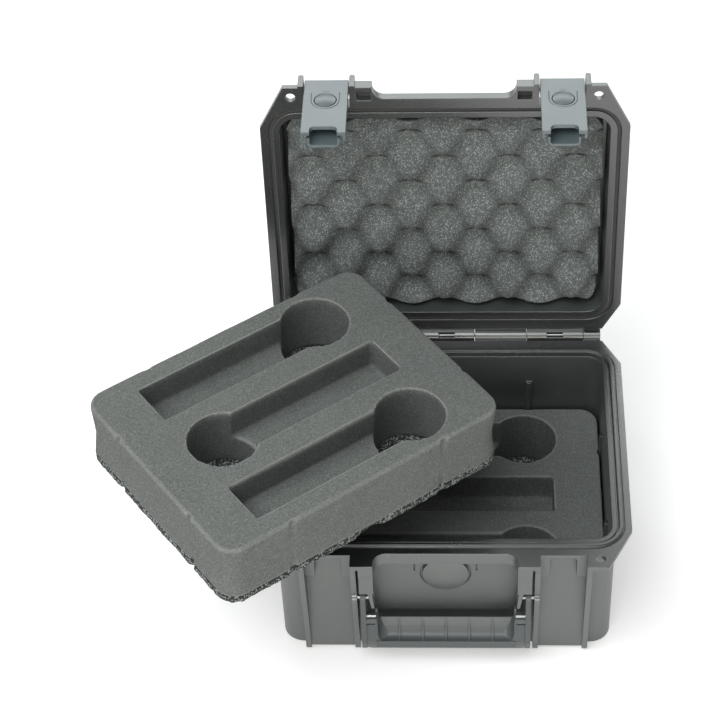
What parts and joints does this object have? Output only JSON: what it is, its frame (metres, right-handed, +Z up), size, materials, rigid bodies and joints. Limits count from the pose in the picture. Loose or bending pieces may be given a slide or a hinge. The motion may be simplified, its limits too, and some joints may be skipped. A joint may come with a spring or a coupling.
{
  "type": "microphone case",
  "caption": "Hard hinged case with two trigger latches, fold-down handle and pressure valve, holding slotted foam trays for microphones under a lid lined with egg-crate foam.",
  "frame": {"origin": "on the floor under the middle of the base's opening", "axes": "+X to the case's right as the picture faces it, +Y to the hinge at the back, +Z up"},
  "size_m": [0.3877, 0.3417, 0.3557],
  "materials": {
    "shell": "fine moulded grain, medium grey",
    "latch": "fine moulded grain, lighter blue-grey",
    "steel": "bright drawn wire and strip",
    "seal": "matt black",
    "membrane": "off-white film",
    "lid_foam": "open-cell foam, dark grey",
    "tray_foam": "open-cell foam, dark grey",
    "tray_backing": "coarse black foam sheet that glitters"
  },
  "bodies": {
    "base": {"base_shell": "shell", "valve_cap": "shell", "valve_seal": "seal", "valve_membrane": "membrane", "hinge_pin": "steel", "handle_pin_left": "steel", "handle_pin_right": "steel"},
    "lid": {"lid_shell": "shell", "lid_gasket": "seal", "lid_foam": "lid_foam", "latch_pin_left": "steel", "latch_pin_right": "steel"},
    "latch_left": {"latch_body_left": "latch", "trigger_pin_left": "steel", "trigger_spring_left": "steel"},
    "latch_right": {"latch_body_right": "latch", "trigger_pin_right": "steel", "trigger_spring_right": "steel"},
    "trigger_left": {"latch_trigger_left": "latch"},
    "trigger_right": {"latch_trigger_right": "latch"},
    "handle": {"handle": "shell", "handle_stop_left": "steel", "handle_stop_right": "steel"},
    "upper_tray": {"upper_tray_foam": "tray_foam", "upper_tray_backing": "tray_backing"},
    "lower_tray": {"lower_tray_foam": "tray_foam", "lower_tray_backing": "tray_backing"}
  },
  "joints": [
    {"name": "lid_hinge", "type": "hinge", "parent": "base", "child": "lid", "pos_m": [0, 0.1176, 0.11575], "axis": [-1, 0, 0], "range_deg": [-92, 0]},
    {"name": "latch_left_hinge", "type": "hinge", "parent": "lid", "child": "latch_left", "pos_m": [-0.0849, 0.1329, 0.34626], "axis": [-1, 0, 0], "range_deg": [0, 100]},
    {"name": "latch_right_hinge", "type": "hinge", "parent": "lid", "child": "latch_right", "pos_m": [0.0849, 0.1329, 0.34626], "axis": [-1, 0, 0], "range_deg": [0, 100]},
    {"name": "trigger_left_press", "type": "hinge", "parent": "latch_left", "child": "trigger_left", "pos_m": [-0.0849, 0.10692, 0.34706], "axis": [-1, 0, 0], "range_deg": [0, 5], "stiffness_Nm_per_rad": 0.5, "springref_deg": -5.16},
    {"name": "trigger_right_press", "type": "hinge", "parent": "latch_right", "child": "trigger_right", "pos_m": [0.0849, 0.10692, 0.34706], "axis": [-1, 0, 0], "range_deg": [0, 5], "stiffness_Nm_per_rad": 0.5, "springref_deg": -5.16},
    {"name": "handle_hinge", "type": "hinge", "parent": "base", "child": "handle", "pos_m": [0, -0.113, 0.073], "axis": [-1, 0, 0], "range_deg": [0, 100]},
    {"name": "lower_tray_lift", "type": "slide", "parent": "base", "child": "lower_tray", "axis": [0, 0, 1], "range_m": [0, 0.08]},
    {"name": "upper_tray_away", "type": "slide", "parent": "base", "child": "upper_tray", "axis": [0, -1, 0], "range_m": [0, 0.361]}
  ],
  "couplings": [
    {"joint": "upper_tray_away", "follows": "lid_hinge", "m_per_rad": -0.2242}
  ]
}
